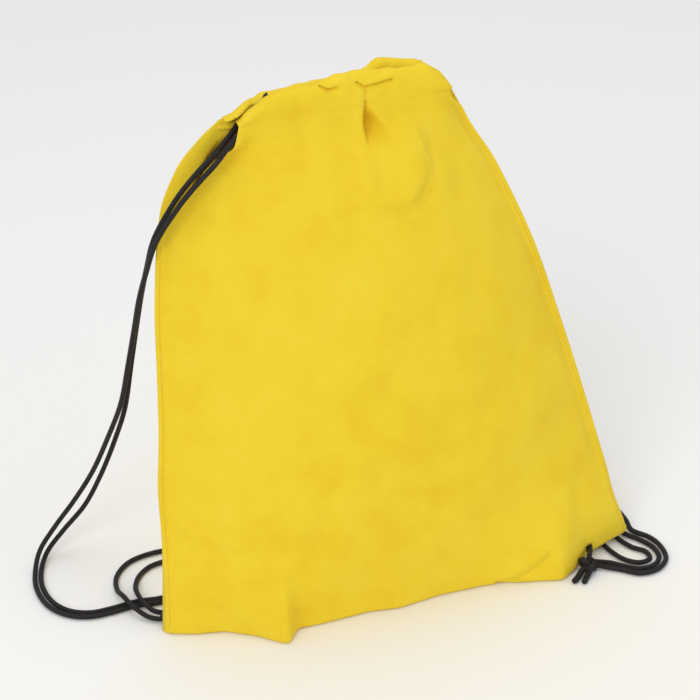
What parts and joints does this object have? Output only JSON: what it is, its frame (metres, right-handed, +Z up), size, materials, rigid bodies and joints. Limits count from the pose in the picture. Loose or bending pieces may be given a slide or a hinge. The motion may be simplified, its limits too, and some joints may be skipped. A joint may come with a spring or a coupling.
{
  "type": "drawstring backpack",
  "caption": "Drawstring backpack of thin yellow non-woven fabric, drawn shut and standing, with cord straps tied at its bottom corners.",
  "frame": {"origin": "on the floor, under the middle of the fabric", "axes": "+Z up, -Y the bag's front, +X its right end seen from the front"},
  "size_m": [0.4381, 0.1884, 0.3765],
  "materials": {
    "fabric": "matt spunbond non-woven polypropylene with a fine embossed grid",
    "thread": "matt sewing thread",
    "cord": "braided polyester cord with a soft sheen"
  },
  "bodies": {
    "bag": {"front_panel": "fabric", "back_panel": "fabric", "base_fold": "fabric", "front_channel": "fabric", "back_channel": "fabric", "left_side_stitching": "thread", "right_side_stitching": "thread", "front_channel_stitching": "thread", "back_channel_stitching": "thread", "left_strap_outer": "cord", "left_strap_inner": "cord", "right_strap_outer": "cord", "right_strap_inner": "cord", "left_corner_knot": "cord", "right_corner_knot": "cord", "left_corner_tie": "cord", "right_corner_tie": "cord", "left_tail_upper": "cord", "left_tail_lower": "cord", "right_tail_upper": "cord", "right_tail_lower": "cord"},
    "left_cord": {"left_cord_in_channels": "cord"},
    "right_cord": {"right_cord_in_channels": "cord"}
  },
  "joints": [
    {"name": "left_cord_slide", "type": "slide", "parent": "bag", "child": "left_cord", "axis": [0.9994, 0, 0.0342], "range_m": [0, 0.02]},
    {"name": "right_cord_slide", "type": "slide", "parent": "bag", "child": "right_cord", "axis": [-0.9994, 0, 0.0342], "range_m": [0, 0.02]}
  ]
}
